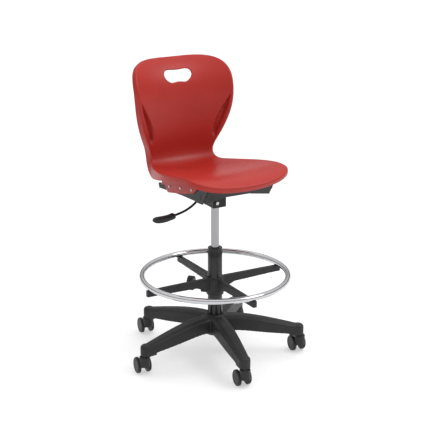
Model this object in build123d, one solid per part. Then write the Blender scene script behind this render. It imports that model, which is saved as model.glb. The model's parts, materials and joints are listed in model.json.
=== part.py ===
from build123d import *

import math
import os

import numpy as np

# Drafting chair. Millimetres, +Z up. The origin is on the floor, on the axis of the column.
# The sitter faces -Y, and the sitter's right hand is at -X.

# --- column and gas lift -------------------------------------------------------------
TUBE_RADIUS = 25.0
TUBE_WALL = 2.0
TUBE_BOTTOM = 84.0
TUBE_TOP = 386.0
TUBE_FLOOR = 4.0
COLLAR_HEIGHT = 4.0
CYLINDER_RADIUS = 14.0
CYLINDER_WALL = 2.0
CYLINDER_BOTTOM = 236.0
TAPER_BOTTOM = 541.0
TAPER_TOP = 582.0
TAPER_TOP_RADIUS = 13.3
BUSH_BOTTOM = 290.0
ROD_RADIUS = 5.0
ROD_BOTTOM = 78.5
PISTON_BOTTOM = 325.0
PISTON_HEIGHT = 16.0
PIN_RADIUS = 3.0
PIN_TOP = 593.0
RUN = 0.05  # radial clearance of a running fit
GAP = 0.3  # clearance between parts that move past each other

# --- five-star base ------------------------------------------------------------------
ARM_COUNT = 5
ARM_START = 43.4  # degrees from +X to the first arm
ARM_REACH = 295.0  # column axis to stem axis
HUB_RADIUS = 34.0
HUB_SKIRT = 47.0
HUB_BOTTOM = 77.0
SKIRT_BOTTOM = 87.0
HUB_TOP = 150.0
SLEEVE_WALL = 3.0
BOSS_RADIUS = 20.0
BOSS_REACH = 288.0  # column axis to the middle of the arm's rounded end
BOSS_INNER = 258.0
BOSS_BOTTOM = 67.0
BOSS_TOP = 106.0
BOSS_ROUND = 11.0
BOSS_FOOT_TOP = 85.0
ARM_WALL = 4.5
ARM_SHOULDER = 7.0  # how far the arm's soft ridge lies below its top

# --- casters -------------------------------------------------------------------------
TRAIL = 23.3
TRAIL_ANGLE = 83.4  # degrees from +X to the way the wheels trail
WHEEL_RADIUS = 27.5
WHEEL_WIDTH = 11.5
WHEEL_SPACING = 37.1
AXLE_RADIUS = 3.0
STEM_RADIUS = 5.5
STEM_BOTTOM = 36.0
STEM_TOP = 96.0
HOOD_RADIUS = 18.0
HOOD_BOTTOM = 30.0
HOOD_TOP = 65.0
HOOD_HALF_WEB = 12.3
HOOD_WEB_RADIUS = 13.0

# --- foot ring -----------------------------------------------------------------------
RING_RADIUS = 249.5
RING_TUBE = 10.0
RING_WALL = 1.5
RING_HEIGHT = 289.0
SPIDER_BOTTOM = 222.0
SPIDER_TOP = 284.0
SPIDER_RADIUS = 30.0
SPOKE_END = 261.0
SPOKE_PAD = 227.0  # where the solid end under the ring starts
SPOKE_WIDTH = 14.0
SPOKE_WALL = 3.0
SLIDE_BUSH_WALL = 1.4
KNOB_ANGLE = 135.0
KNOB_CENTRE = 84.0
KNOB_HEIGHT = 251.0
KNOB_RADIUS = 25.0
KNOB_THICK = 24.0
KNOB_FLUTES = 12
LUG_REACH = 48.0
LUG_TOP = 268.0

# --- seat frame ----------------------------------------------------------------------
BAR_INNER = 118.0
BAR_THICK = 5.0
SKIRT_THICK = 4.5
PLATE_BOTTOM = 603.0
PLATE_THICK = 3.0
BOX_HALF_WIDTH = 25.0
BOX_FRONT = -33.0
BOX_BACK = 30.0
BOX_BOTTOM = 538.0
BOX_SHOULDER = 571.0
SHEET_METAL = 3.0
BOLT_SPREAD = 56.0
RIVETS = [(85.0, 599.4), (7.0, 613.7), (-69.0, 625.9)]
RIVET_HEAD = 4.2
CLAMP_BOLT = (-12.0, 555.0)
CLAMP_BOLT_ACROSS = 11.0

# --- lever ---------------------------------------------------------------------------
LEVER_RADIUS = 4.0
LEVER_PATH = [(6, 0, 597.5), (-32, -3, 596), (-54, -9, 581), (-111, -18, 543.4), (-190, -19, 527.4)]
# Each row of the grip: x, z, half width, half thickness.
GRIP_STATIONS = [
    (-165.0, 532.6, 10.5, 7.6),
    (-168.0, 532.0, 12.0, 8.6),
    (-180.0, 529.2, 13.0, 8.7),
    (-195.0, 526.8, 13.8, 9.0),
    (-215.0, 525.8, 14.0, 9.6),
    (-230.0, 526.4, 13.0, 9.0),
    (-239.0, 527.0, 9.5, 6.6),
    (-243.0, 527.4, 5.0, 3.6),
]
GRIP_MIDDLE = -19.0  # y
LEVER_PIVOT = (-26.0, 596.2)
LEVER_EYE = 6.0
PIVOT_RADIUS = 2.0

# --- shell ---------------------------------------------------------------------------
# Each row: share of the length from the front lip to the top of the back, heading of the
# centre line in degrees above the horizontal, half width, cross curve in 1/m, rim depth.
SHELL_STATIONS = [
    (0.00, 28.0, 174.0, 0.45, 14.0),
    (0.07, 4.5, 175.5, 0.70, 11.5),
    (0.16, -9.0, 184.0, 0.75, 11.5),
    (0.28, -10.5, 184.0, 0.90, 16.0),
    (0.38, -9.5, 162.0, 1.25, 23.0),
    (0.45, -7.0, 142.5, 1.60, 26.5),
    (0.52, 17.5, 122.5, 1.85, 26.5),
    (0.58, 79.0, 115.0, 2.25, 25.5),
    (0.67, 94.0, 141.0, 2.85, 22.0),
    (0.79, 87.5, 172.5, 3.10, 16.0),
    (0.90, 68.0, 178.5, 2.75, 10.5),
    (1.00, 39.0, 176.0, 1.95, 7.0),
]
SHELL_START = (-213.5, 660.5)  # y and z of the front lip on the centre line
SHELL_LENGTH = 824.0
SHELL_THICK = 5.0
RIM_RADIUS = 7.0
FRONT_ROUND = 68.5
TOP_ROUND = 107.0
HAND_HOLE_ALONG = 750.5
HAND_HOLE_WIDTH = 104.0
HAND_HOLE_HEIGHT = 46.0
SKIRT_ROOT_END = 351


# --- helpers -------------------------------------------------------------------------
def rod(radius, low, high, at=(0, 0)):
    solid = Cylinder(radius, high - low, align=(Align.CENTER, Align.CENTER, Align.MIN))
    return Pos(at[0], at[1], low) * solid


def tube(outer, inner, low, high, at=(0, 0)):
    return rod(outer, low, high, at) - rod(inner, low - 1, high + 1, at)


def rod_x(radius, low, high, y, z):
    solid = Cylinder(radius, high - low, align=(Align.CENTER, Align.CENTER, Align.MIN))
    return Pos(low, y, z) * Rot(0, 90, 0) * solid


def rod_y(radius, low, high, x, z):
    solid = Cylinder(radius, high - low, align=(Align.CENTER, Align.CENTER, Align.MIN))
    return Pos(x, low, z) * Rot(-90, 0, 0) * solid


def block(low, high):
    size = [b - a for a, b in zip(low, high)]
    middle = [(a + b) / 2 for a, b in zip(low, high)]
    return Pos(*middle) * Box(*size)


def plate_x(points, low, high):
    """A plate with the outline points (y, z), from x = low to x = high."""
    face = make_face(Polyline([(low, y, z) for y, z in points], close=True))
    return extrude(face, amount=high - low, dir=(1, 0, 0))


def hexagon(across, low, high, at=(0, 0)):
    sketch = Plane.XY.offset(low) * Pos(at[0], at[1]) * RegularPolygon(across / 2, 6, major_radius=False)
    return extrude(sketch, amount=high - low, dir=(0, 0, 1))


def turned(profile):
    """A solid of revolution about Z from the outline points (radius, z)."""
    face = make_face(Polyline([(r, 0, z) for r, z in profile], close=True))
    return revolve(face, axis=Axis.Z)


def around(shape, angle):
    return Rot(0, 0, angle) * shape


def group(shapes):
    """One compound holding each of the shapes as a separate solid."""
    return Compound([solid for shape in shapes for solid in shape.solids()])


def save(name, shape):
    export_step(shape, f"parts/{name}.step")


# --- column and gas lift -------------------------------------------------------------
def column_tube():
    inner = TUBE_RADIUS - TUBE_WALL
    wall = tube(TUBE_RADIUS, inner, TUBE_BOTTOM, TUBE_TOP)
    floor = tube(inner + 0.5, ROD_RADIUS + GAP + 0.5, TUBE_BOTTOM, TUBE_BOTTOM + TUBE_FLOOR)
    return wall + floor


def column_collar():
    outer = TUBE_RADIUS
    inner = CYLINDER_RADIUS + 1.5
    top = TUBE_TOP + COLLAR_HEIGHT
    profile = [(inner, TUBE_TOP), (outer, TUBE_TOP), (outer, top - 2.5), (outer - 0.8, top - 0.8)]
    profile += [(outer - 2.5, top), (inner, top)]
    return turned(profile)


def guide_bush():
    return tube(TUBE_RADIUS - TUBE_WALL, CYLINDER_RADIUS + RUN, BUSH_BOTTOM, TUBE_TOP)


def thrust_bearing():
    base = TUBE_BOTTOM + TUBE_FLOOR
    pitch = 10.5
    ball = 2.0
    lower = tube(14.0, ROD_RADIUS + 0.6, base, base + 1.5)
    upper = tube(14.0, ROD_RADIUS + 0.6, base + 1.5 + 2 * ball, base + 3 + 2 * ball)
    balls = []
    for i in range(8):
        angle = math.radians(45 * i)
        centre = (pitch * math.cos(angle), pitch * math.sin(angle), base + 1.5 + ball)
        balls.append(Pos(*centre) * Sphere(ball))
    return group([lower, upper] + balls)


def piston_rod():
    flange = TUBE_BOTTOM + TUBE_FLOOR + 7 + GAP
    body = rod(ROD_RADIUS, ROD_BOTTOM, PISTON_BOTTOM)
    shoulder = rod(9.0, flange, flange + 3)
    groove = tube(ROD_RADIUS + 1, ROD_RADIUS - 1, ROD_BOTTOM + 2.5, ROD_BOTTOM + 4)
    return body + shoulder - groove


def retaining_clip():
    return tube(ROD_RADIUS + 3.5, ROD_RADIUS - 1, ROD_BOTTOM + 2.5, ROD_BOTTOM + 4)


def piston_head():
    reach = CYLINDER_RADIUS - CYLINDER_WALL - GAP
    return rod(reach, PISTON_BOTTOM, PISTON_BOTTOM + PISTON_HEIGHT)


def gas_cylinder():
    inner = CYLINDER_RADIUS - CYLINDER_WALL
    profile = [(inner, CYLINDER_BOTTOM), (CYLINDER_RADIUS, CYLINDER_BOTTOM), (CYLINDER_RADIUS, TAPER_BOTTOM)]
    profile += [(TAPER_TOP_RADIUS, TAPER_TOP), (PIN_RADIUS + RUN, TAPER_TOP), (PIN_RADIUS + RUN, TAPER_TOP - 14)]
    profile += [(8.0, TAPER_TOP - 14), (8.0, TAPER_TOP - 24), (inner - 1, TAPER_TOP - 24)]
    profile += [(inner - 1, TAPER_TOP - 40), (inner, TAPER_TOP - 44)]
    return turned(profile)


def cylinder_seal():
    inner = CYLINDER_RADIUS - CYLINDER_WALL
    return tube(inner, ROD_RADIUS + RUN, CYLINDER_BOTTOM, CYLINDER_BOTTOM + 14)


def release_pin():
    shank = rod(PIN_RADIUS, TAPER_TOP - 20, PIN_TOP)
    foot = rod(6.5, TAPER_TOP - 19, TAPER_TOP - 15)
    return shank + foot


# --- five-star base ------------------------------------------------------------------
def arm_section(reach, half_width, bottom, shoulder, top, strip, round_edge):
    """The arm's cross-section at a distance from the column axis, a roof with soft edges."""
    points = [(-half_width, bottom), (half_width, bottom), (half_width - 1.5, shoulder), (strip, top)]
    points += [(-strip, top), (-half_width + 1.5, shoulder)]
    plane = Plane(origin=(reach, 0, 0), x_dir=(0, 1, 0), z_dir=(1, 0, 0))
    face = make_face(Polyline(points, close=True))
    upper = [v for v in face.vertices() if v.Y > bottom + 1]
    return plane * fillet(upper, round_edge)


def arm_loft(inset, low_drop):
    """The arm's outer body, or with an inset the hollow inside it."""
    sections = []
    for reach, half_width, bottom, top, strip in [
        (22.0, 31.0, 88.0, 145.0, 15.0),
        (80.0, 29.5, 94.0, 144.5, 14.5),
        (145.0, 27.5, 87.5, 136.0, 13.0),
        (220.0, 24.0, 79.0, 120.5, 11.5),
        (BOSS_REACH, BOSS_RADIUS, 71.5, 104.5, 9.5),
    ]:
        shoulder = top - ARM_SHOULDER
        section = arm_section(reach, half_width - inset, bottom - low_drop, shoulder - inset, top - inset, strip, 6.0)
        sections.append(section)
    return loft(sections)


def star_arm():
    boss = rod(BOSS_RADIUS, BOSS_BOTTOM, BOSS_TOP, (BOSS_REACH, 0))
    boss = fillet(boss.edges().group_by(Axis.Z)[-1], BOSS_ROUND)
    foot = block((BOSS_INNER, -BOSS_RADIUS, BOSS_BOTTOM), (BOSS_REACH, BOSS_RADIUS, BOSS_FOOT_TOP))
    body = arm_loft(0, 0) + boss + foot
    hollow = arm_loft(ARM_WALL, 16.0)
    hollow &= block((52, -40, 40), (BOSS_INNER - 4, 40, 160))
    hollow -= block((40, -1.75, 40), (ARM_REACH, 1.75, 160))
    return body - hollow


def hub_body():
    profile = [(0, HUB_BOTTOM), (HUB_RADIUS, HUB_BOTTOM), (HUB_RADIUS + 2, SKIRT_BOTTOM), (HUB_SKIRT, SKIRT_BOTTOM)]
    profile += [(HUB_SKIRT, SKIRT_BOTTOM + 14), (HUB_RADIUS + 3, HUB_TOP - 22), (HUB_RADIUS, HUB_TOP - 6)]
    profile += [(HUB_RADIUS - 2, HUB_TOP - 4), (TUBE_RADIUS + SLEEVE_WALL + 1.5, HUB_TOP), (0, HUB_TOP)]
    return turned(profile)


def star_base():
    star = hub_body()
    for i in range(ARM_COUNT):
        star += around(star_arm(), ARM_START + i * 360 / ARM_COUNT)
    star -= rod(TUBE_RADIUS + SLEEVE_WALL, HUB_BOTTOM - 1, HUB_TOP + 2)
    for x, y in arm_ends():
        star -= rod(STEM_RADIUS + RUN, BOSS_BOTTOM - 1, STEM_TOP + 1, (x, y))
    return star


def hub_sleeve():
    return tube(TUBE_RADIUS + SLEEVE_WALL, TUBE_RADIUS, TUBE_BOTTOM, HUB_TOP + 1)


def arm_ends():
    angles = [math.radians(ARM_START + i * 360 / ARM_COUNT) for i in range(ARM_COUNT)]
    return [(ARM_REACH * math.cos(a), ARM_REACH * math.sin(a)) for a in angles]


# --- casters: made at the origin with the wheels trailing along +Y -------------------
def caster_hood():
    clear = WHEEL_RADIUS + 1.0
    barrel = rod(HOOD_RADIUS, HOOD_BOTTOM, HOOD_TOP)
    barrel = fillet(barrel.edges().group_by(Axis.Z)[-1], 2.0)
    web = rod_x(HOOD_WEB_RADIUS, -HOOD_HALF_WEB, HOOD_HALF_WEB, TRAIL, WHEEL_RADIUS)
    bridge = block((-HOOD_HALF_WEB, 0, 27), (HOOD_HALF_WEB, 18, HOOD_TOP - 4))
    hood = barrel + web + bridge
    for side in (-1, 1):
        low, high = sorted((side * HOOD_HALF_WEB, side * 40))
        hood -= rod_x(clear, low, high, TRAIL, WHEEL_RADIUS)
    hood -= rod(STEM_RADIUS, STEM_BOTTOM, HOOD_TOP + 1)
    hood -= rod_x(AXLE_RADIUS, -30, 30, TRAIL, WHEEL_RADIUS)
    return hood


def caster_stem():
    shank = rod(STEM_RADIUS, STEM_BOTTOM, STEM_TOP)
    washer = rod(9.5, HOOD_TOP, BOSS_BOTTOM - GAP)
    return shank + washer


def caster_axle():
    half = WHEEL_SPACING / 2 + 2.4
    return rod_x(AXLE_RADIUS, -half, half, TRAIL, WHEEL_RADIUS)


def caster_wheel(side):
    """A wheel with a rounded tread, a dished outer face and a blind bore; side is -1 or 1."""
    inner = WHEEL_SPACING / 2 - WHEEL_WIDTH / 2
    outer = WHEEL_SPACING / 2 + WHEEL_WIDTH / 2
    profile = [(0, inner), (WHEEL_RADIUS - 1.0, inner), (WHEEL_RADIUS, inner + 1.0), (WHEEL_RADIUS, outer - 4)]
    profile += [(WHEEL_RADIUS - 0.7, outer - 2), (WHEEL_RADIUS - 2.2, outer - 0.6), (WHEEL_RADIUS - 4.2, outer)]
    profile += [(WHEEL_RADIUS - 6, outer - 0.8), (0, outer - 0.8)]
    wheel = turned(profile) - rod(AXLE_RADIUS + RUN, inner - 1, outer - 3)
    return Pos(0, TRAIL, WHEEL_RADIUS) * Rot(0, 90 * side, 0) * wheel


def save_casters():
    pieces = {
        "hood": caster_hood(),
        "stem": caster_stem(),
        "axle": caster_axle(),
        "wheel_right": caster_wheel(-1),
        "wheel_left": caster_wheel(1),
    }
    for number, (x, y) in enumerate(arm_ends(), start=1):
        place = Pos(x, y, 0) * Rot(0, 0, TRAIL_ANGLE - 90)
        for piece, shape in pieces.items():
            save(f"caster_{number}_{piece}", place * shape)


# --- foot ring -----------------------------------------------------------------------
def foot_ring():
    """The ring, made as four drilled quarters whose walls are sewn into one closed shell."""
    section = Circle(RING_TUBE) - Circle(RING_TUBE - RING_WALL)
    quarter = revolve(Plane.XZ * Pos(RING_RADIUS, RING_HEIGHT) * section, axis=Axis.Z, revolution_arc=90)
    walls = []
    for i, screw in enumerate(ring_screw_shanks()):
        drilled = around(quarter, 90 * i - 45) - screw
        walls += [face for face in drilled.faces() if face.geom_type != GeomType.PLANE]
    return Solid(Shell(walls))


def spoke():
    """One spoke along +X: a channel open below, with a solid end that the ring rests on."""
    outline = [(24, 234), (40, 240), (75, 254), (SPOKE_PAD, 258), (SPOKE_END, 258), (SPOKE_END, 280), (24, 282)]
    face = make_face(Polyline([(x, 0, z) for x, z in outline], close=True))
    body = extrude(face, amount=SPOKE_WIDTH / 2, dir=(0, 1, 0), both=True)
    inside = SPOKE_WIDTH / 2 - SPOKE_WALL
    return body - block((44, -inside, 230), (SPOKE_PAD, inside, 280 - SPOKE_WALL))


def ring_screw_shanks():
    """The screws' shanks, which rise through each spoke and the ring's drilled lower wall."""
    low = RING_HEIGHT - RING_TUBE - 14
    high = RING_HEIGHT - RING_TUBE + RING_WALL + 2.5
    return [rod(2.5, low, high, spoke_point(i)) for i in range(4)]


def spoke_point(index):
    angle = math.radians(90 * index)
    return (RING_RADIUS * math.cos(angle), RING_RADIUS * math.sin(angle))


def spider():
    bore = TUBE_RADIUS + RUN + SLIDE_BUSH_WALL + RUN
    body = rod(SPIDER_RADIUS, SPIDER_BOTTOM, SPIDER_TOP)
    body += rod(SPIDER_RADIUS + 2, SPIDER_TOP - 5, SPIDER_TOP - 1)
    for i in range(4):
        body += around(spoke(), 90 * i)
    lug = block((20, -12, SPIDER_BOTTOM + 4), (LUG_REACH, 12, LUG_TOP))
    body += around(lug, KNOB_ANGLE)
    body -= rod(bore, SPIDER_BOTTOM - 1, SPIDER_TOP + 1)
    body -= around(knob_stud_space(), KNOB_ANGLE)
    body -= Pos(0, 0, RING_HEIGHT) * Torus(RING_RADIUS, RING_TUBE)
    for i in range(4):
        x, y = spoke_point(i)
        body -= rod(2.5, 240, 290, (x, y))
        body -= rod(5.0, 240, RING_HEIGHT - RING_TUBE - 14, (x, y))
    return body


def knob_stud_space():
    return rod_x(4.0 + RUN, 15, 60, 0, KNOB_HEIGHT)


def ring_bush():
    inner = TUBE_RADIUS + RUN
    return tube(inner + SLIDE_BUSH_WALL, inner, SPIDER_BOTTOM - 2, SPIDER_TOP + 2)


def ring_screws():
    head_top = RING_HEIGHT - RING_TUBE - 14
    heads = [rod(4.5, head_top - 3, head_top, spoke_point(i)) for i in range(4)]
    return group([shank + head for shank, head in zip(ring_screw_shanks(), heads)])


def clamp_knob():
    """A fluted hand knob on a horizontal stud, made along +X and turned to its angle."""
    start = KNOB_CENTRE - KNOB_THICK / 2
    end = KNOB_CENTRE + KNOB_THICK / 2
    knob = rod_x(KNOB_RADIUS, start + 3, end, 0, KNOB_HEIGHT)
    knob = fillet(knob.edges(), 1.5)
    for i in range(KNOB_FLUTES):
        angle = math.radians(360 / KNOB_FLUTES * i)
        y = (KNOB_RADIUS + 4) * math.sin(angle)
        z = KNOB_HEIGHT + (KNOB_RADIUS + 4) * math.cos(angle)
        knob -= rod_x(5.2, start, end + 1, y, z)
    knob += rod_x(11.0, start, start + 6, 0, KNOB_HEIGHT)
    knob -= rod_x(4.0, start - 1, end - 6, 0, KNOB_HEIGHT)
    return around(knob, KNOB_ANGLE)


def knob_stud():
    bore = TUBE_RADIUS + RUN + SLIDE_BUSH_WALL + RUN
    stud = rod_x(4.0, bore + GAP + 0.2, KNOB_CENTRE + KNOB_THICK / 2 - 6, 0, KNOB_HEIGHT)
    return around(stud, KNOB_ANGLE)


# --- seat frame ----------------------------------------------------------------------
def taper_socket():
    low = BOX_BOTTOM + SHEET_METAL
    high = BOX_SHOULDER + 4
    drop = (CYLINDER_RADIUS - TAPER_TOP_RADIUS) / (TAPER_TOP - TAPER_BOTTOM)
    top_radius = CYLINDER_RADIUS - drop * (high - TAPER_BOTTOM)
    return turned([(CYLINDER_RADIUS, low), (19.0, low), (19.0, high), (top_radius, high)])


def mechanism_housing():
    """A pressed steel box that flares to a flange under the mounting plate."""
    flare_top = PLATE_BOTTOM - SHEET_METAL
    middle = (BOX_FRONT + BOX_BACK) / 2
    depth = BOX_BACK - BOX_FRONT

    def flare(inset, low, high):
        lower = Plane.XY.offset(low) * Pos(0, middle) * Rectangle(2 * (BOX_HALF_WIDTH - inset), depth - 2 * inset)
        upper = Plane.XY.offset(high) * Rectangle(2 * (45 - inset), 2 * (45 - inset))
        return loft([lower, upper])

    box = block((-BOX_HALF_WIDTH, BOX_FRONT, BOX_BOTTOM), (BOX_HALF_WIDTH, BOX_BACK, BOX_SHOULDER))
    box = fillet(box.edges().filter_by(Axis.Z), 3.0)
    inner = block(
        (-BOX_HALF_WIDTH + SHEET_METAL, BOX_FRONT + SHEET_METAL, BOX_BOTTOM + SHEET_METAL),
        (BOX_HALF_WIDTH - SHEET_METAL, BOX_BACK - SHEET_METAL, BOX_SHOULDER + 1),
    )
    flange = block((-65, -65, flare_top), (65, 65, PLATE_BOTTOM))
    body = box + flare(0, BOX_SHOULDER, flare_top) + flange
    body -= inner
    body -= flare(SHEET_METAL, BOX_SHOULDER, flare_top)
    body -= block((-42, -42, flare_top - 1), (42, 42, PLATE_BOTTOM + 1))
    body -= rod(CYLINDER_RADIUS, BOX_BOTTOM - 1, BOX_BOTTOM + SHEET_METAL + 1)
    body -= block((-60, -20, 577), (-24, 8, flare_top))
    body -= rod_y(4.0, BOX_FRONT - 1, BOX_FRONT + SHEET_METAL + 1, *CLAMP_BOLT)
    body -= rod_y(PIVOT_RADIUS, -60, 60, *LEVER_PIVOT)
    for x, y in bolt_points():
        body -= rod(4.0, flare_top - 1, PLATE_BOTTOM + 1, (x, y))
    return body


def bolt_points():
    return [(x, y) for x in (-BOLT_SPREAD, BOLT_SPREAD) for y in (-BOLT_SPREAD, BOLT_SPREAD)]


def clamp_bolt():
    hexagonal = RegularPolygon(CLAMP_BOLT_ACROSS / 2, 6, major_radius=False)
    head = extrude(Plane.XZ.offset(-BOX_FRONT) * Pos(*CLAMP_BOLT) * hexagonal, amount=5.5)
    return head + rod_y(4.0, BOX_FRONT - 0.1, BOX_FRONT + SHEET_METAL + 3, *CLAMP_BOLT)


def mounting_plate():
    """The flat plate between the side bars, slotted to save weight."""
    high = PLATE_BOTTOM + PLATE_THICK
    plate = block((-BAR_INNER, -92, PLATE_BOTTOM), (BAR_INNER, 70, high))
    plate = fillet(plate.edges().filter_by(Axis.Z), 5.0)
    plate -= block((-34, -24, PLATE_BOTTOM - 1), (16, 24, high + 1))
    for side in (-1, 1):
        plate -= Pos(side * 90, -10, PLATE_BOTTOM - 1) * extrude(SlotOverall(70, 22, rotation=90), amount=6)
    for x, y in bolt_points():
        plate -= rod(4.0, PLATE_BOTTOM - 1, high + 1, (x, y))
    return plate


def mechanism_bolts():
    low = PLATE_BOTTOM - SHEET_METAL
    bolts = [rod(4.0, low, PLATE_BOTTOM + 11, p) + hexagon(13, low - 5.3, low, p) for p in bolt_points()]
    return group(bolts)


def mechanism_nuts():
    low = PLATE_BOTTOM + PLATE_THICK
    return group([hexagon(13, low, low + 6.5, p) - rod(4.0, low - 1, low + 8, p) for p in bolt_points()])


def side_bar(side):
    outline = [(-118, 593.5), (7, 588.2), (168, 574.7), (173.5, 591.3), (-118, 649)]
    low, high = sorted((side * BAR_INNER, side * (BAR_INNER + BAR_THICK)))
    bar = plate_x(outline, low, high)
    for y, z in RIVETS:
        bar -= rod_x(3.0, low - 1, high + 1, y, z)
    return bar


def front_bracket():
    """The front cross-member: a folded channel with a leaning strap and a gusset at each end."""
    fold = [(-96, 607), (-151, 611), (-177, 653), (-150, 657), (-150, 653), (-171, 650)]
    fold += [(-148.5, 615), (-96, 611)]
    outer = BAR_INNER + BAR_THICK
    bracket = plate_x(fold, -outer, outer)
    strap = [(-88, 591.5), (-138, 594.6), (-177, 655), (-118.6, 648.7)]
    slot = [(-128, 611), (-125.5, 611), (-129.5, 626), (-132, 626)]
    front = Plane(origin=(0, -151, 611), x_dir=(1, 0, 0), z_dir=(0, -42, -26))
    for side in (-1, 1):
        low, high = sorted((side * BAR_INNER, side * (outer + 17)))
        bracket -= plate_x([(-118.1, 595), (-90, 595), (-90, 660), (-118.1, 660)], low, high)
        low, high = sorted((side * outer, side * (outer + 4)))
        bracket += plate_x(strap, low, high) - plate_x(slot, low - 1, high + 1)
        gusset = [(side * 46, -1.8), (side * 121, -17.6), (side * 127, 10), (side * 127, 14), (side * 46, 14)]
        face = front * make_face(Polyline([(x, y, 0) for x, y in gusset], close=True))
        bracket += extrude(face, amount=3.5, dir=(0, 42, 26))
    return bracket


def rear_crossbar():
    outline = [(112, 583), (138, 583), (138, 598), (134, 598), (134, 587), (116, 587), (116, 598), (112, 598)]
    return plate_x(outline, -BAR_INNER, BAR_INNER)


def shell_rivets():
    rivets = []
    inner = BAR_INNER
    skin = BAR_INNER + BAR_THICK + SKIRT_THICK
    for side in (-1, 1):
        for y, z in RIVETS:
            low, high = sorted((side * inner, side * skin))
            body = rod_x(3.0, low, high, y, z)
            low, high = sorted((side * skin, side * (skin + 1.8)))
            head = rod_x(RIVET_HEAD, low, high, y, z)
            low, high = sorted((side * (inner - 2), side * inner))
            tail = rod_x(RIVET_HEAD, low, high, y, z)
            rivets.append(body + head + tail)
    return group(rivets)


# --- lever ---------------------------------------------------------------------------
def lever_rod():
    path = FilletPolyline([Vector(*p) for p in LEVER_PATH], radius=[9, 40, 170])
    start = Plane(origin=path @ 0, z_dir=path % 0)
    x, z = LEVER_PIVOT
    lever = sweep(start * Circle(LEVER_RADIUS), path=path)
    lever += rod_y(LEVER_EYE, -10, 5, x, z)
    return lever - rod_y(PIVOT_RADIUS + RUN, -50, 50, x, z)


def lever_grip():
    """A flat paddle with a rounded end, moulded over the end of the rod."""
    rows = GRIP_STATIONS
    sections = []
    for i, (x, z, half_wide, half_thick) in enumerate(rows):
        before = rows[max(i - 1, 0)]
        after = rows[min(i + 1, len(rows) - 1)]
        heading = (after[0] - before[0], 0, after[1] - before[1])
        plane = Plane(origin=(x, GRIP_MIDDLE, z), x_dir=(0, 1, 0), z_dir=heading)
        sections.append(plane * RectangleRounded(2 * half_wide, 2 * half_thick, 0.8 * half_thick))
    return loft(sections) - lever_rod()


def lever_pivot():
    return rod_y(PIVOT_RADIUS, -46, 46, *LEVER_PIVOT)


# --- shell ---------------------------------------------------------------------------
def smooth_column(column):
    """A natural cubic spline through one column of the shell's stations."""
    x = np.array([row[0] for row in SHELL_STATIONS]) * SHELL_LENGTH
    y = np.array([row[column] for row in SHELL_STATIONS])
    n = len(x)
    h = np.diff(x)
    a = np.eye(n)
    r = np.zeros(n)
    for i in range(1, n - 1):
        a[i, i - 1 : i + 2] = h[i - 1], 2 * (h[i - 1] + h[i]), h[i]
        r[i] = 6 * ((y[i + 1] - y[i]) / h[i] - (y[i] - y[i - 1]) / h[i - 1])
    m = np.linalg.solve(a, r)

    def value(s):
        s = min(max(s, x[0]), x[-1])
        i = min(max(int(np.searchsorted(x, s)) - 1, 0), n - 2)
        p = (x[i + 1] - s) / h[i]
        q = 1 - p
        return p * y[i] + q * y[i + 1] + ((p**3 - p) * m[i] + (q**3 - q) * m[i + 1]) * h[i] ** 2 / 6

    return value


HEADING = smooth_column(1)
HALF_WIDTH = smooth_column(2)
CROSS_CURVE = smooth_column(3)
RIM_DEPTH = smooth_column(4)


def centre_line():
    """Points (y, z) a millimetre apart along the shell's centre line."""
    y, z = SHELL_START
    points = [(y, z)]
    for i in range(int(SHELL_LENGTH)):
        angle = math.radians(HEADING(i + 0.5))
        y += math.cos(angle)
        z += math.sin(angle)
        points.append((y, z))
    return points


CENTRE_LINE = centre_line()


def centre_point(s):
    """The centre line at s, carried on straight past its two ends."""
    whole = min(max(int(s), 0), int(SHELL_LENGTH) - 1)
    angle = math.radians(HEADING(s))
    y, z = CENTRE_LINE[whole]
    return y + (s - whole) * math.cos(angle), z + (s - whole) * math.sin(angle), angle


def outline_half_width(s):
    """Half the shell's outer width at s, rounded in at the front lip and the top."""
    width = HALF_WIDTH(s) + RIM_RADIUS
    front = (s + RIM_RADIUS) / (FRONT_ROUND + RIM_RADIUS)
    top = (SHELL_LENGTH + RIM_RADIUS - s) / (TOP_ROUND + RIM_RADIUS)
    if front < 1:
        width *= (1 - (1 - front) ** 2.3) ** (1 / 2.3)
    if top < 1:
        width *= (1 - (1 - top) ** 2.5) ** (1 / 2.5)
    return width


def shell_point(s, across, down):
    """A point of the shell: s along, across to the side, down below the seating face."""
    y, z, angle = centre_point(s)
    curve = CROSS_CURVE(s) / 1000
    slope = math.atan(curve * across)
    lift = curve * across**2 / 2 - down * math.cos(slope)
    side = across + down * math.sin(slope)
    return (side, y - math.sin(angle) * lift, z + math.cos(angle) * lift)


def shell_section(s, hollow):
    """The closed outline of the shell's cross-section: the seating face, the rim, the inside."""
    edge = outline_half_width(s) - RIM_RADIUS
    depth = RIM_RADIUS + RIM_DEPTH(s)
    inside = SHELL_THICK if hollow else depth - 0.5
    across = [edge * t for t in (-1, -0.75, -0.5, -0.25, 0, 0.25, 0.5, 0.75, 1)]
    upper = [(x, 0) for x in across]
    right = [(edge + 5, 2), (edge + RIM_RADIUS, RIM_RADIUS), (edge + RIM_RADIUS, depth)]
    right += [(edge + RIM_RADIUS - SHELL_THICK, depth), (edge + RIM_RADIUS - SHELL_THICK, max(inside, RIM_RADIUS))]
    lower = [(x, inside) for x in reversed(across)]
    left = [(-x, down) for x, down in reversed(right)]
    return Wire.make_polygon([Vector(*shell_point(s, x, down)) for x, down in upper + right + lower + left])


def shell_stations():
    """Where the cross-sections stand, close together where the outline rounds in."""
    front = [-5.0, -2.0, -0.5, 4.0, 12.0, 24.0, 40.0, 60.0]
    middle = [85 + 35 * i for i in range(9)] + [388 + 16 * i for i in range(8)] + [540 + 34 * i for i in range(5)]
    top = [SHELL_LENGTH - d for d in (107, 82, 60, 42, 27, 15, 6, 0.5, -2.5, -5)]
    return front + middle + top


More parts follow.
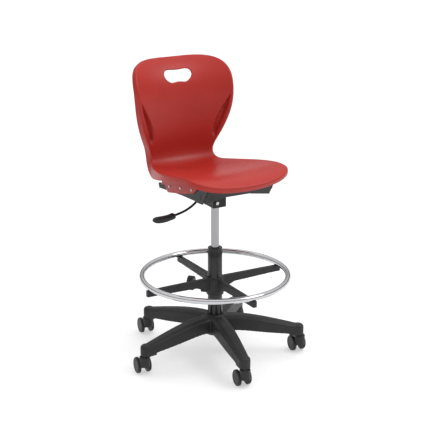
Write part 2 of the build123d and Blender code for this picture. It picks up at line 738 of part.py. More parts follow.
def hand_hole_cutter():
    """A dog-bone prism along the back's own normal."""
    y, z, angle = centre_point(HAND_HOLE_ALONG)
    half = HAND_HOLE_WIDTH / 2
    tall = HAND_HOLE_HEIGHT / 2
    waist = tall - 4
    plane = Plane(origin=(0, y, z), x_dir=(1, 0, 0), z_dir=(0, -math.sin(angle), math.cos(angle)))
    points = [(-half, -6), (-half + 6, -tall + 5), (-half + 20, -tall), (0, -waist), (half - 20, -tall)]
    points += [(half - 6, -tall + 5), (half, -6), (half, 10), (half - 8, tall), (0, waist), (-half + 8, tall), (-half, 10)]
    face = make_face(Polyline(points, close=True))
    face = fillet(face.vertices(), 4.0)
    return extrude(plane * face, amount=60, both=True)


def skirt(side):
    """The rib under the seat that the side bar is riveted to."""
    inner = BAR_INNER + BAR_THICK
    root = [shell_point(s, inner + SKIRT_THICK / 2, 2.5)[1:] for s in range(95, SKIRT_ROOT_END, 15)]
    bottom = [(143, 592), (123, 599), (98, 575.8), (40, 587.5), (-20, 601), (-77.3, 615.8), (-117, 647)]
    outline = bottom + root
    low, high = sorted((side * inner, side * (inner + SKIRT_THICK)))
    plate = plate_x(outline, low, high)
    for y, z in RIVETS:
        plate -= rod_x(3.0, low - 1, high + 1, y, z)
    return plate


def seat_shell():
    stations = shell_stations()
    solid_ends = 2
    wires = []
    for i, s in enumerate(stations):
        hollow = solid_ends <= i < len(stations) - solid_ends
        wires.append(shell_section(s, hollow))
    shell = Solid.make_loft(wires, ruled=True)
    shell = Part(shell.wrapped) - hand_hole_cutter()
    for side in (-1, 1):
        shell += skirt(side)
    return shell


def main():
    os.makedirs("parts", exist_ok=True)
    save("column_tube", column_tube())
    save("column_collar", column_collar())
    save("guide_bush", guide_bush())
    save("thrust_bearing", thrust_bearing())
    save("piston_rod", piston_rod())
    save("retaining_clip", retaining_clip())
    save("piston_head", piston_head())
    save("gas_cylinder", gas_cylinder())
    save("cylinder_seal", cylinder_seal())
    save("release_pin", release_pin())
    save("star_base", star_base())
    save("hub_sleeve", hub_sleeve())
    save_casters()
    save("foot_ring", foot_ring())
    save("ring_spider", spider())
    save("ring_bush", ring_bush())
    save("ring_screws", ring_screws())
    save("clamp_knob", clamp_knob())
    save("knob_stud", knob_stud())
    save("taper_socket", taper_socket())
    save("mechanism_housing", mechanism_housing())
    save("clamp_bolt", clamp_bolt())
    save("mounting_plate", mounting_plate())
    save("mechanism_bolts", mechanism_bolts())
    save("mechanism_nuts", mechanism_nuts())
    save("side_bar_right", side_bar(-1))
    save("side_bar_left", side_bar(1))
    save("front_bracket", front_bracket())
    save("rear_crossbar", rear_crossbar())
    save("shell_rivets", shell_rivets())
    save("lever_rod", lever_rod())
    save("lever_grip", lever_grip())
    save("lever_pivot", lever_pivot())
    save("seat_shell", seat_shell())


main()
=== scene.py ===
import json
import math

import bmesh
import bpy
import numpy as np
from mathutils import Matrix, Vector


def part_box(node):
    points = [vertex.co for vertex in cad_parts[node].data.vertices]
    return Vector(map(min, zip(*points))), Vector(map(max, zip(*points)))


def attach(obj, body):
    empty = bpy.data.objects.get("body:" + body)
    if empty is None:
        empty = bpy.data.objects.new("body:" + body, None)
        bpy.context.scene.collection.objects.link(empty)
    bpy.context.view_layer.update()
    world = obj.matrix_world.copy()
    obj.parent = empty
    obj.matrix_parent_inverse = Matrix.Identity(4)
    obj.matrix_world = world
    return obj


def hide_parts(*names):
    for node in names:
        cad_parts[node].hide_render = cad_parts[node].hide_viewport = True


# Drafting chair. Metres, +Z up. The sitter faces -Y, and the sitter's right hand is at -X.
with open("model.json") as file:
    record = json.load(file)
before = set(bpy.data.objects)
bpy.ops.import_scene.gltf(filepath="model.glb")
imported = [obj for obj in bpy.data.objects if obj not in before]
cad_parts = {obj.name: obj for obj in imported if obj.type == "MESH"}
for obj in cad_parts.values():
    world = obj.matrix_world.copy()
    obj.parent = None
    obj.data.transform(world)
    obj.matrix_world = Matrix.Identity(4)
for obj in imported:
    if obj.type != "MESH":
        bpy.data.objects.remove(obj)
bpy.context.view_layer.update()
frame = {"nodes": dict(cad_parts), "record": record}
nodes = frame["nodes"]
record = frame["record"]


# --- materials -----------------------------------------------------------------------
def new_material(name, **inputs):
    """A node material, with its shader's inputs set from the keywords."""
    material = bpy.data.materials.new(name)
    material.use_nodes = True
    shader = material.node_tree.nodes["Principled BSDF"]
    for key, value in inputs.items():
        shader.inputs[key.replace("_", " ")].default_value = value
    return material


def object_coordinates(tree, stretch=(1, 1, 1)):
    coordinates = tree.nodes.new("ShaderNodeTexCoord")
    mapping = tree.nodes.new("ShaderNodeMapping")
    mapping.inputs["Scale"].default_value = stretch
    tree.links.new(coordinates.outputs["Object"], mapping.inputs["Vector"])
    return mapping.outputs["Vector"]


def noise(tree, scale, detail=3.0, stretch=(1, 1, 1)):
    node = tree.nodes.new("ShaderNodeTexNoise")
    node.inputs["Scale"].default_value = scale
    node.inputs["Detail"].default_value = detail
    tree.links.new(object_coordinates(tree, stretch), node.inputs["Vector"])
    return node.outputs["Fac"]


def remap(tree, value, low, high, start=0.3, stop=0.7):
    """The value between start and stop, spread from low to high."""
    node = tree.nodes.new("ShaderNodeMapRange")
    node.inputs["From Min"].default_value = start
    node.inputs["From Max"].default_value = stop
    node.inputs["To Min"].default_value = low
    node.inputs["To Max"].default_value = high
    tree.links.new(value, node.inputs["Value"])
    return node.outputs["Result"]


def mottle(material, value, first, second):
    """Colours the material between two colours by the value."""
    tree = material.node_tree
    mix = tree.nodes.new("ShaderNodeMix")
    mix.data_type = "RGBA"
    mix.inputs["A"].default_value = (*first, 1)
    mix.inputs["B"].default_value = (*second, 1)
    tree.links.new(value, mix.inputs["Factor"])
    tree.links.new(mix.outputs["Result"], tree.nodes["Principled BSDF"].inputs["Base Color"])


def vary_roughness(material, value, low, high):
    tree = material.node_tree
    spread = remap(tree, value, low, high)
    tree.links.new(spread, tree.nodes["Principled BSDF"].inputs["Roughness"])


def bump(material, *layers):
    """Chains bumps, each a (height, depth in metres) pair, onto the shader's normal."""
    tree = material.node_tree
    last = None
    for height, depth in layers:
        node = tree.nodes.new("ShaderNodeBump")
        node.inputs["Strength"].default_value = 1.0
        node.inputs["Distance"].default_value = depth
        tree.links.new(height, node.inputs["Height"])
        if last:
            tree.links.new(last, node.inputs["Normal"])
        last = node.outputs["Normal"]
    tree.links.new(last, tree.nodes["Principled BSDF"].inputs["Normal"])


def moulded(name, dark, light, roughness, grain, depth, specular=0.5):
    """Moulded plastic: a fine pebbled grain, faint flow marks and uneven sheen."""
    material = new_material(name, Specular_IOR_Level=specular)
    tree = material.node_tree
    mottle(material, remap(tree, noise(tree, 14, 4), 0, 1), dark, light)
    vary_roughness(material, noise(tree, 60, 3), *roughness)
    bump(material, (noise(tree, 35, 2), depth * 2), (noise(tree, grain, 2), depth))
    return material


def coated_steel(name, dark, light, roughness, grain, depth, specular=0.5):
    """Powder coat: orange peel over sheet steel, a little darker where it pools."""
    material = new_material(name, Specular_IOR_Level=specular)
    tree = material.node_tree
    peel = noise(tree, grain, 1)
    mottle(material, remap(tree, noise(tree, 30, 3), 0, 1), dark, light)
    vary_roughness(material, noise(tree, 120, 2), *roughness)
    bump(material, (peel, depth), (noise(tree, 90, 2), depth * 1.5))
    return material


def bright_metal(name, dark, light, roughness, stretch, grain, depth):
    """Plated or ground metal with faint marks that run the way the stretch says."""
    material = new_material(name, Metallic=1.0)
    tree = material.node_tree
    marks = noise(tree, grain, 3, stretch)
    mottle(material, remap(tree, marks, 0, 1), dark, light)
    vary_roughness(material, noise(tree, grain, 2, stretch), *roughness)
    bump(material, (marks, depth))
    return material


materials = {
    "red_shell": moulded(
        "red_polypropylene",
        dark=(0.345, 0.0155, 0.0095),
        light=(0.375, 0.0180, 0.0115),
        roughness=(0.36, 0.44), grain=1500, depth=0.00003, specular=0.34,
    ),
    "black_nylon": moulded(
        "black_nylon",
        dark=(0.0165, 0.0165, 0.0175),
        light=(0.0215, 0.0215, 0.0225),
        roughness=(0.44, 0.56), grain=1300, depth=0.00005, specular=0.32,
    ),
    "black_grip": moulded(
        "black_grip",
        dark=(0.0130, 0.0130, 0.0135),
        light=(0.0180, 0.0180, 0.0185),
        roughness=(0.40, 0.52), grain=1700, depth=0.00005, specular=0.36,
    ),
    "bearing_plastic": moulded(
        "bearing_plastic",
        dark=(0.055, 0.055, 0.055),
        light=(0.07, 0.07, 0.07),
        roughness=(0.3, 0.42), grain=900, depth=0.00002,
    ),
    "caster_wheel": moulded(
        "caster_tread",
        dark=(0.014, 0.014, 0.015),
        light=(0.019, 0.019, 0.020),
        roughness=(0.38, 0.50), grain=1200, depth=0.00003, specular=0.3,
    ),
    "black_gloss_paint": coated_steel(
        "black_gloss_paint",
        dark=(0.010, 0.010, 0.0105),
        light=(0.013, 0.013, 0.0135),
        roughness=(0.14, 0.20), grain=260, depth=0.00001, specular=0.4,
    ),
    "black_steel": coated_steel(
        "black_powder_coat",
        dark=(0.0140, 0.0130, 0.0125),
        light=(0.0190, 0.0176, 0.0169),
        roughness=(0.38, 0.50), grain=800, depth=0.00003, specular=0.28,
    ),
    "chrome": bright_metal(
        "bright_chrome",
        dark=(0.56, 0.56, 0.57),
        light=(0.60, 0.60, 0.61),
        roughness=(0.05, 0.10), stretch=(1, 1, 0.2), grain=90, depth=0.000004,
    ),
    "ground_chrome": bright_metal(
        "ground_chrome",
        dark=(0.32, 0.32, 0.325),
        light=(0.35, 0.35, 0.355),
        roughness=(0.16, 0.24), stretch=(1, 1, 12), grain=120, depth=0.000003,
    ),
    "zinc_steel": bright_metal(
        "zinc_plate",
        dark=(0.42, 0.42, 0.43),
        light=(0.55, 0.55, 0.55),
        roughness=(0.26, 0.38), stretch=(1, 1, 1), grain=260, depth=0.00001,
    ),
}

slot_of = {part["node"]: part["material_slot"] for part in record["subparts"]}
for node_name, node in nodes.items():
    node.data.materials.clear()
    node.data.materials.append(materials[slot_of[node_name]])


# --- mesh helpers --------------------------------------------------------------------
WELD_DISTANCE = 1e-6


def add_piece(name, points, faces, body, stands_for, slot):
    """A smooth mesh piece that rides on a body and takes the slot's material."""
    mesh = bpy.data.meshes.new(name)
    mesh.from_pydata([tuple(p) for p in points], [], faces)
    mesh.validate()
    mesh.materials.append(materials[slot])
    mesh.shade_smooth()
    piece = bpy.data.objects.new(name, mesh)
    bpy.context.scene.collection.objects.link(piece)
    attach(piece, body)
    if stands_for:
        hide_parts(*stands_for)
    return piece


def turn_faces_outward(piece):
    """Makes every face of a closed piece point out of it."""
    work = bmesh.new()
    work.from_mesh(piece.data)
    bmesh.ops.recalc_face_normals(work, faces=work.faces)
    work.to_mesh(piece.data)
    work.free()


def apply_modifiers(piece):
    """Bakes the piece's modifiers into its mesh."""
    graph = bpy.context.evaluated_depsgraph_get()
    mesh = bpy.data.meshes.new_from_object(piece.evaluated_get(graph))
    piece.modifiers.clear()
    piece.data = mesh


def add_softened(name, node_name, voxel, rounds, body):
    """Adds a copy of a CAD node's shape with every edge rounded, as a moulding has."""
    mesh = nodes[node_name].data.copy()
    work = bmesh.new()
    work.from_mesh(mesh)
    bmesh.ops.remove_doubles(work, verts=work.verts, dist=WELD_DISTANCE)
    work.to_mesh(mesh)
    work.free()
    piece = bpy.data.objects.new(name, mesh)
    bpy.context.scene.collection.objects.link(piece)
    remesh = piece.modifiers.new("remesh", "REMESH")
    remesh.mode = "VOXEL"
    remesh.voxel_size = voxel
    smooth = piece.modifiers.new("smooth", "SMOOTH")
    smooth.factor = 0.5
    smooth.iterations = rounds
    apply_modifiers(piece)
    piece.data.materials.clear()
    piece.data.materials.append(materials[slot_of[node_name]])
    piece.data.shade_smooth()
    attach(piece, body)
    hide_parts(node_name)


# --- seat shell, in millimetres ------------------------------------------------------
# Each row: share of the length from the front lip to the top of the back, heading of the
# centre line in degrees above the horizontal, half width, cross curve in 1/m, rim depth.
SHELL_STATIONS = np.array([
    (0.00, 28.0, 174.0, 0.45, 14.0),
    (0.07, 4.5, 175.5, 0.70, 11.5),
    (0.16, -9.0, 184.0, 0.75, 11.5),
    (0.28, -10.5, 184.0, 0.90, 16.0),
    (0.38, -9.5, 162.0, 1.25, 23.0),
    (0.45, -7.0, 142.5, 1.60, 26.5),
    (0.52, 17.5, 122.5, 1.85, 26.5),
    (0.58, 79.0, 115.0, 2.25, 25.5),
    (0.67, 94.0, 141.0, 2.85, 22.0),
    (0.79, 87.5, 172.5, 3.10, 16.0),
    (0.90, 68.0, 178.5, 2.75, 10.5),
    (1.00, 39.0, 176.0, 1.95, 7.0),
])
SHELL_START = (-213.5, 660.5)
SHELL_LENGTH = 824.0
SHELL_THICK = 5.0
RIM_RADIUS = 7.0
FRONT_ROUND = 68.5
FRONT_POWER = 2.3
TOP_ROUND = 107.0
TOP_POWER = 2.5
FLANGE_LIP = 1.6
FLUTE_DEPTH = 13.0
FLUTE_MARGIN = 3.0
FLUTE_FADE_IN = (520, 552)
FLUTE_FADE_OUT = (622, 700)
HOLE_LIP = 3.2
HOLE_BACK_LIP = 1.4
HOLE_MIDDLE = np.array([751.0, 0.0])
HOLE_WIDE_TO_HIGH = 2.1
HOLE_ROWS = (716, 786)
HOLE_SHARE = 0.40
EDGE_SHARE = 0.76
# The hand hole's edge: (along from the front lip, across), a dog bone.
HAND_HOLE = [
    (751, 52), (763, 50.5), (772, 43), (774.5, 30), (773.4, 14), (773, 0), (773.4, -14), (774.5, -30),
    (772, -43), (763, -50.5), (751, -52), (741, -46.5), (732.5, -37), (728, -27), (729.5, -14), (731, 0),
    (729.5, 14), (728, 27), (732.5, 37), (741, 46.5),
]
# The flutes in the lower back: (along, distance from the middle) of each one's inner edge.
FLUTE_EDGE = np.array([
    (527, 126), (535, 118.5), (552, 115.5), (581, 121), (611, 133), (637, 147), (660, 161.5), (677, 173),
])


def natural_spline(xs, ys):
    """A natural cubic spline through the points, as a function of an array."""
    count = len(xs)
    gap = np.diff(xs)
    matrix = np.eye(count)
    right = np.zeros(count)
    for i in range(1, count - 1):
        matrix[i, i - 1 : i + 2] = gap[i - 1], 2 * (gap[i - 1] + gap[i]), gap[i]
        right[i] = 6 * ((ys[i + 1] - ys[i]) / gap[i] - (ys[i] - ys[i - 1]) / gap[i - 1])
    bend = np.linalg.solve(matrix, right)

    def value(s):
        s = np.clip(s, xs[0], xs[-1])
        i = np.clip(np.searchsorted(xs, s) - 1, 0, count - 2)
        p = (xs[i + 1] - s) / gap[i]
        q = 1 - p
        bow = (p**3 - p) * bend[i] + (q**3 - q) * bend[i + 1]
        return p * ys[i] + q * ys[i + 1] + bow * gap[i] ** 2 / 6

    return value


STATION_S = SHELL_STATIONS[:, 0] * SHELL_LENGTH
heading, half_width, cross_curve, rim_depth = [
    natural_spline(STATION_S, SHELL_STATIONS[:, column]) for column in (1, 2, 3, 4)
]
flute_edge = natural_spline(FLUTE_EDGE[:, 0], FLUTE_EDGE[:, 1])

steps = np.radians(heading(np.arange(SHELL_LENGTH) + 0.5))
centre_s = np.arange(SHELL_LENGTH + 1)
centre_y = SHELL_START[0] + np.concatenate([[0], np.cumsum(np.cos(steps))])
centre_z = SHELL_START[1] + np.concatenate([[0], np.cumsum(np.sin(steps))])


def smoothstep(low, high, value):
    t = np.clip((value - low) / (high - low), 0, 1)
    return t * t * (3 - 2 * t)


def flute_depth(s, x):
    """How far the sheet is pressed back, to make the flute along each side of the lower back."""
    inner = flute_edge(s)
    outer = half_width(s) - FLUTE_MARGIN
    share = (np.abs(x) - inner) / np.maximum(outer - inner, 1.0)
    scoop = smoothstep(-0.08, 0.22, share) * (1 - smoothstep(0.42, 1.0, share))
    length = smoothstep(*FLUTE_FADE_IN, s) * (1 - smoothstep(*FLUTE_FADE_OUT, s))
    return FLUTE_DEPTH * scoop * length


def sheet(s, x):
    """The seating face, in millimetres, before the flutes are pressed in."""
    angle = np.radians(heading(s))
    inside = np.clip(s, 0, SHELL_LENGTH)
    y = np.interp(inside, centre_s, centre_y) + (s - inside) * np.cos(angle)
    z = np.interp(inside, centre_s, centre_z) + (s - inside) * np.sin(angle)
    lift = cross_curve(s) / 1000 * x**2 / 2
    return np.stack([x, y - np.sin(angle) * lift, z + np.cos(angle) * lift], axis=-1)


def sheet_normal(s, x):
    """The sheet's normal, on the sitter's side."""
    step = 0.5
    along = sheet(s + step, x) - sheet(s - step, x)
    across = sheet(s, x + step) - sheet(s, x - step)
    normal = np.cross(across, along)
    return normal / np.linalg.norm(normal, axis=-1, keepdims=True)


def shell_face(s, x, down=0.0):
    """The pressed sheet's face, and faces below it."""
    normal = sheet_normal(s, x)
    return sheet(s, x) - normal * (flute_depth(s, x) + down)[..., None]


def rounded_rows():
    """Where the rows stand, and how wide each is: the outline is a superellipse at both ends."""
    turn = np.radians(np.linspace(0, 90, 34))
    front = FRONT_ROUND * (1 - np.cos(turn) ** (2 / FRONT_POWER))
    front_width = np.sin(turn) ** (2 / FRONT_POWER)
    top = SHELL_LENGTH - TOP_ROUND * (1 - np.cos(turn[::-1]) ** (2 / TOP_POWER))
    top_width = np.sin(turn[::-1]) ** (2 / TOP_POWER)
    middle = np.linspace(FRONT_ROUND, SHELL_LENGTH - TOP_ROUND, 206)[1:-1]
    s = np.concatenate([front, middle, top])
    share = np.concatenate([front_width, np.ones(len(middle)), top_width])
    return s, share * half_width(s)


class ShellMesh:
    """The shell's points and faces as they are made."""

    def __init__(self):
        self.points = []
        self.faces = []

    def add(self, points):
        start = len(self.points)
        self.points += [tuple(p / 1000) for p in points]
        return list(range(start, len(self.points)))

    def bridge(self, first, second, flip=False):
        """A strip of quads between two closed loops of the same length."""
        count = len(first)
        for i in range(count):
            j = (i + 1) % count
            face = [first[i], first[j], second[j], second[i]]
            self.faces.append(face[::-1] if flip else face)


def hole_outline(boundary):
    """The hand hole's edge as one point for each boundary point, at the same angle from its middle."""
    knots = np.array(HAND_HOLE, float)
    count = len(knots)
    dense = []
    for i in range(count):
        p0, p1, p2, p3 = (knots[(i + k - 1) % count] for k in range(4))
        for t in np.linspace(0, 1, 12, endpoint=False):
            square = (2 * p0 - 5 * p1 + 4 * p2 - p3) * t**2
            cube = (3 * p1 - p0 - 3 * p2 + p3) * t**3
            dense.append(0.5 * ((2 * p1) + (p2 - p0) * t + square + cube))
    dense = np.array(dense)
    angle = np.arctan2(dense[:, 0] - HOLE_MIDDLE[0], dense[:, 1] - HOLE_MIDDLE[1])
    order = np.argsort(angle)
    angle, dense = angle[order], dense[order]
    from_middle = boundary - HOLE_MIDDLE
    wanted = np.arctan2(from_middle[:, 0] * HOLE_WIDE_TO_HIGH, from_middle[:, 1])
    wanted = np.arctan2(np.sin(wanted), np.cos(wanted))
    ring = np.stack([np.interp(wanted, angle, dense[:, k], period=2 * math.pi) for k in (0, 1)], axis=-1)
    ahead = np.roll(ring, -1, axis=0) - np.roll(ring, 1, axis=0)
    outward = np.stack([ahead[:, 1], -ahead[:, 0]], axis=-1)
    outward /= np.linalg.norm(outward, axis=-1, keepdims=True)
    outward *= np.sign(np.sum(outward * (ring - HOLE_MIDDLE), axis=-1, keepdims=True))
    return ring, outward


def face_grid(shell, down, flip):
    """One face of the sheet: a grid with a hole cut in it. Returns the outline loop and the hole loop."""
    rows, widths = rounded_rows()
    left_edge = np.linspace(-1, -EDGE_SHARE, 31)[:-1]
    right_edge = np.linspace(EDGE_SHARE, 1, 31)[1:]
    share = np.concatenate([left_edge, np.linspace(-EDGE_SHARE, EDGE_SHARE, 49), right_edge])
    first, last = np.searchsorted(rows, HOLE_ROWS)
    left, right = np.searchsorted(share, (-HOLE_SHARE, HOLE_SHARE))
    index = {}
    count = len(share)
    for r in range(1, len(rows) - 1):
        s = np.full(count, rows[r])
        x = share * widths[r]
        keep = [c for c in range(count) if not (first < r < last and left < c < right)]
        made = shell.add(shell_face(s[keep], x[keep], np.full(len(keep), down)))
        index.update({(r, c): made[k] for k, c in enumerate(keep)})
    for r in range(1, len(rows) - 2):
        for c in range(count - 1):
            if first <= r < last and left <= c < right:
                continue
            face = [index[r, c], index[r, c + 1], index[r + 1, c + 1], index[r + 1, c]]
            shell.faces.append(face[::-1] if flip else face)
    tips = shell.add(shell_face(rows[[0, -1]], np.zeros(2), np.full(2, down)))
    for c in range(count - 1):
        front = [tips[0], index[1, c + 1], index[1, c]]
        top = [tips[1], index[len(rows) - 2, c], index[len(rows) - 2, c + 1]]
        shell.faces += [front[::-1], top[::-1]] if flip else [front, top]
    outline = [tips[0]] + [index[r, count - 1] for r in range(1, len(rows) - 1)]
    outline += [tips[1]] + [index[r, 0] for r in range(len(rows) - 2, 0, -1)]
    block = [(first, c) for c in range(left, right)] + [(r, right) for r in range(first, last)]
    block += [(last, c) for c in range(right, left, -1)] + [(r, left) for r in range(last, first, -1)]
    around = np.array([(rows[r], share[c] * widths[r]) for r, c in block])
    ring, outward = hole_outline(around)
    loop = [index[key] for key in block]
    lip = ring + outward * HOLE_LIP
    for t in np.linspace(0, 1, 9)[1:]:
        place = around * (1 - t) + lip * t
        fresh = shell.add(shell_face(place[:, 0], place[:, 1], np.full(len(place), down)))
        shell.bridge(loop, fresh, flip)
        loop = fresh
    return outline, loop, ring, outward


def outline_frame():
    """The sheet's edge as a closed loop, with its surface normal and its outward direction."""
    rows, widths = rounded_rows()
    s = np.concatenate([rows, rows[-2:0:-1]])
    x = np.concatenate([widths, -widths[-2:0:-1]])
    x[0] = x[len(rows) - 1] = 0
    edge = sheet(s, x)
    normal = sheet_normal(s, x)
    ahead = np.roll(edge, -1, axis=0) - np.roll(edge, 1, axis=0)
    outward = np.cross(ahead, normal)
    outward /= np.linalg.norm(outward, axis=-1, keepdims=True)
    return s, edge, normal, outward


def build_shell():
    shell = ShellMesh()
    top_outline, top_hole, ring, outward = face_grid(shell, 0.0, False)
    low_outline, low_hole, _, _ = face_grid(shell, SHELL_THICK, True)
    s, edge, normal, out = outline_frame()
    depth = RIM_RADIUS + rim_depth(s)
    profile = []
    for angle in np.radians(np.linspace(0, 90, 11))[1:]:
        profile.append((RIM_RADIUS * math.sin(angle), RIM_RADIUS * (1 - math.cos(angle)), 0))
    for share in (0.33, 0.66, 1.0):
        profile.append((RIM_RADIUS, RIM_RADIUS - (RIM_RADIUS + FLANGE_LIP) * share, share))
    for angle in np.radians(np.linspace(0, 90, 5))[1:]:
        side = RIM_RADIUS - FLANGE_LIP * (1 - math.cos(angle))
        profile.append((side, -FLANGE_LIP * (1 - math.sin(angle)), 1))
    inner = RIM_RADIUS - SHELL_THICK
    for angle in np.radians(np.linspace(90, 0, 5)):
        profile.append((inner + FLANGE_LIP * (1 - math.cos(angle)), -FLANGE_LIP * (1 - math.sin(angle)), 1))
    profile.append((inner, RIM_RADIUS - (RIM_RADIUS + FLANGE_LIP) * 0.5, 0.5))
    for angle in np.radians(np.linspace(90, 0, 6))[:-1]:
        profile.append((inner * math.sin(angle), SHELL_THICK + inner * (1 - math.cos(angle)), 0))
    loop = top_outline
    for side, down, share in profile:
        place = edge + out * side - normal * (down + depth * share)[:, None]
        fresh = shell.add(place)
        shell.bridge(loop, fresh, True)
        loop = fresh
    shell.bridge(loop, low_outline, True)
    loop = top_hole
    walls = []
    for angle in np.radians(np.linspace(0, 90, 8))[1:]:
        walls.append((HOLE_LIP * (1 - math.sin(angle)), HOLE_LIP * (1 - math.cos(angle))))
    walls.append((0.0, SHELL_THICK - HOLE_BACK_LIP))
    for angle in np.radians((30, 60)):
        walls.append((HOLE_LIP * (1 - math.cos(angle)), SHELL_THICK - HOLE_BACK_LIP * (1 - math.sin(angle))))
    for side, down in walls:
        place = ring + outward * side
        fresh = shell.add(shell_face(place[:, 0], place[:, 1], np.full(len(place), down)))
        shell.bridge(loop, fresh)
        loop = fresh
    shell.bridge(loop, low_hole)
    piece = add_piece("shell", shell.points, shell.faces, "seat", ["seat_shell"], "red_shell")
    turn_faces_outward(piece)


SKIRT_THICK = 4.5
SKIRT_ROOT_START = 95.0
SKIRT_ROOT_END = 351.0
SKIRT_ROOT_STEP = 15.0
SKIRT_ROOT_DEPTH = 2.5
SKIRT_BEVEL = 0.0012
SKIRT_SHARP_DEGREES = 50
# The rib's lower edge, from the back of the seat to the front: (y, z).
SKIRT_LOWER_EDGE = [
    (143, 592), (123, 599), (98, 575.8), (40, 587.5), (-20, 601), (-77.3, 615.8), (-117, 647),
]


def build_skirt(name, side):
    """The rib under the seat that the side bar is riveted to."""
    frame_low, frame_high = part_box("side_bar_left" if side > 0 else "side_bar_right")
    inner = (frame_high.x if side > 0 else -frame_low.x) * 1000
    s = np.arange(SKIRT_ROOT_START, SKIRT_ROOT_END, SKIRT_ROOT_STEP)
    x = np.full(len(s), inner + SKIRT_THICK / 2)
    root = sheet(s, x) - sheet_normal(s, x) * SKIRT_ROOT_DEPTH
    outline = SKIRT_LOWER_EDGE + [(p[1], p[2]) for p in root]
    near, far = side * inner, side * (inner + SKIRT_THICK)
    points = [(x / 1000, y / 1000, z / 1000) for x in (near, far) for y, z in outline]
    count = len(outline)
    faces = [list(range(count)), list(range(2 * count - 1, count - 1, -1))]
    faces += [[i, count + i, count + (i + 1) % count, (i + 1) % count] for i in range(count)]
    piece = add_piece(name, points, faces, "seat", ["seat_shell"], "red_shell")
    turn_faces_outward(piece)
    bevel = piece.modifiers.new("bevel", "BEVEL")
    bevel.width = SKIRT_BEVEL
    bevel.segments = 3
    bevel.limit_method = "ANGLE"
    bevel.angle_limit = math.radians(35)
    apply_modifiers(piece)
    piece.data.set_sharp_from_angle(angle=math.radians(SKIRT_SHARP_DEGREES))


build_shell()
build_skirt("skirt_right", -1)
build_skirt("skirt_left", 1)


# --- mouldings with rounded edges ----------------------------------------------------
add_softened("star_base_moulding", "star_base", 0.0017, 9, "base")
add_softened("ring_spider_moulding", "ring_spider", 0.0011, 4, "foot_ring")
add_softened("lever_grip_moulding", "lever_grip", 0.0007, 4, "lever")
for number in range(1, 6):
    add_softened(f"caster_{number}_hood_moulding", f"caster_{number}_hood", 0.0007, 4, f"caster_{number}")


# --- foot ring -----------------------------------------------------------------------
def build_ring():
    """The ring's outer surface, fine enough for a clean reflection."""
    low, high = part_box("foot_ring")
    thick = (high.z - low.z) / 2
    radius = (high.x - low.x) / 2 - thick
    middle = (low + high) / 2
    around, section = 320, 48
    points = []
    faces = []
    for i in range(around):
        turn = 2 * math.pi * i / around
        for k in range(section):
            angle = 2 * math.pi * k / section
            reach = radius + thick * math.cos(angle)
            height = middle.z + thick * math.sin(angle)
            points.append((middle.x + reach * math.cos(turn), middle.y + reach * math.sin(turn), height))
            ahead = (i + 1) % around * section
            beside = (k + 1) % section
            faces.append((i * section + k, ahead + k, ahead + beside, i * section + beside))
    add_piece("ring_surface", points, faces, "foot_ring", ["foot_ring"], "chrome")


build_ring()


# --- floor, light and camera ---------------------------------------------------------
FLOOR_HALF = 40.0
FLOOR_GLOW = 0.49
CAMERA_PLACE = (-1.920, -3.3255, 1.7137)
CAMERA_PITCH = 72.5
CAMERA_YAW = -30
CAMERA_LENS = 100.13
CAMERA_SENSOR = 36.0
CAMERA_REACH = 200.0
WORLD_STRENGTH = 0.95
# The sky: (height, brightness). Height runs from 0 straight down to 1 straight up.
SKY_STOPS = [(0.50, 1.0), (0.535, 1.0), (0.56, 0.16), (0.60, 0.20), (0.70, 0.75), (0.92, 1.1)]


def add_floor():
    mesh = bpy.data.meshes.new("floor")
    turns = [(-1, -1), (1, -1), (1, 1), (-1, 1)]
    corners = [(x * FLOOR_HALF, y * FLOOR_HALF, 0) for x, y in turns]
    mesh.from_pydata(corners, [], [(0, 1, 2, 3)])
    material = new_material("pale_floor", Roughness=0.9, Specular_IOR_Level=0.1, Emission_Strength=FLOOR_GLOW)
    material.node_tree.nodes["Principled BSDF"].inputs["Emission Color"].default_value = (1.0, 1.0, 1.0, 1)
    tree = material.node_tree
    mottle(material, remap(tree, noise(tree, 3, 2), 0, 1), (0.475, 0.475, 0.48), (0.485, 0.485, 0.49))
    mesh.materials.append(material)
    floor = bpy.data.objects.new("floor", mesh)
    bpy.context.scene.collection.objects.link(floor)


def add_area_light(name, place, aim, size, power):
    light = bpy.data.lights.new(name, "AREA")
    light.shape = "RECTANGLE"
    light.size, light.size_y = size
    light.energy = power
    lamp = bpy.data.objects.new(name, light)
    lamp.location = place
    lamp.rotation_mode = "QUATERNION"
    lamp.rotation_quaternion = (Vector(aim) - Vector(place)).to_track_quat("-Z", "Y")
    bpy.context.scene.collection.objects.link(lamp)


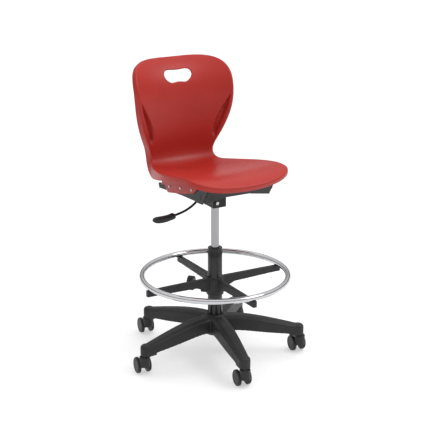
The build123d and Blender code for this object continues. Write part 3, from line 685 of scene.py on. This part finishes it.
def add_camera():
    camera = bpy.data.cameras.new("camera")
    camera.sensor_width = CAMERA_SENSOR
    camera.lens = CAMERA_LENS
    camera.clip_end = CAMERA_REACH
    holder = bpy.data.objects.new("camera", camera)
    holder.location = CAMERA_PLACE
    holder.rotation_euler = (math.radians(CAMERA_PITCH), 0, math.radians(CAMERA_YAW))
    bpy.context.scene.collection.objects.link(holder)
    bpy.context.scene.camera = holder


def add_world():
    """A studio that is bright overhead, pale at the horizon and darker just above it."""
    world = bpy.data.worlds.new("studio")
    world.use_nodes = True
    tree = world.node_tree
    coordinates = tree.nodes.new("ShaderNodeTexCoord")
    split = tree.nodes.new("ShaderNodeSeparateXYZ")
    ramp = tree.nodes.new("ShaderNodeValToRGB")
    for number, (place, level) in enumerate(SKY_STOPS):
        stop = ramp.color_ramp.elements[number] if number < 2 else ramp.color_ramp.elements.new(place)
        stop.position = place
        stop.color = (level, level, level * 1.01, 1)
    half = tree.nodes.new("ShaderNodeMapRange")
    half.inputs["From Min"].default_value = -1.0
    half.inputs["From Max"].default_value = 1.0
    background = tree.nodes["Background"]
    background.inputs["Strength"].default_value = WORLD_STRENGTH
    tree.links.new(coordinates.outputs["Generated"], split.inputs["Vector"])
    tree.links.new(split.outputs["Z"], half.inputs["Value"])
    tree.links.new(half.outputs["Result"], ramp.inputs["Fac"])
    tree.links.new(ramp.outputs["Color"], background.inputs["Color"])
    bpy.context.scene.world = world


def add_sun(name, aim, strength, spread):
    light = bpy.data.lights.new(name, "SUN")
    light.energy = strength
    light.angle = math.radians(spread)
    lamp = bpy.data.objects.new(name, light)
    lamp.rotation_mode = "QUATERNION"
    lamp.rotation_quaternion = Vector(aim).to_track_quat("-Z", "Y")
    lamp.visible_glossy = False
    bpy.context.scene.collection.objects.link(lamp)


add_floor()
add_world()
add_sun("overhead", (-0.25, -0.15, -1), 1.3, 60)
add_area_light("key", (1.75, -1.8, 3.2), (0, 0.15, 0.85), (1.5, 1.5), 42)
add_camera()
bpy.context.scene.view_settings.view_transform = "Standard"
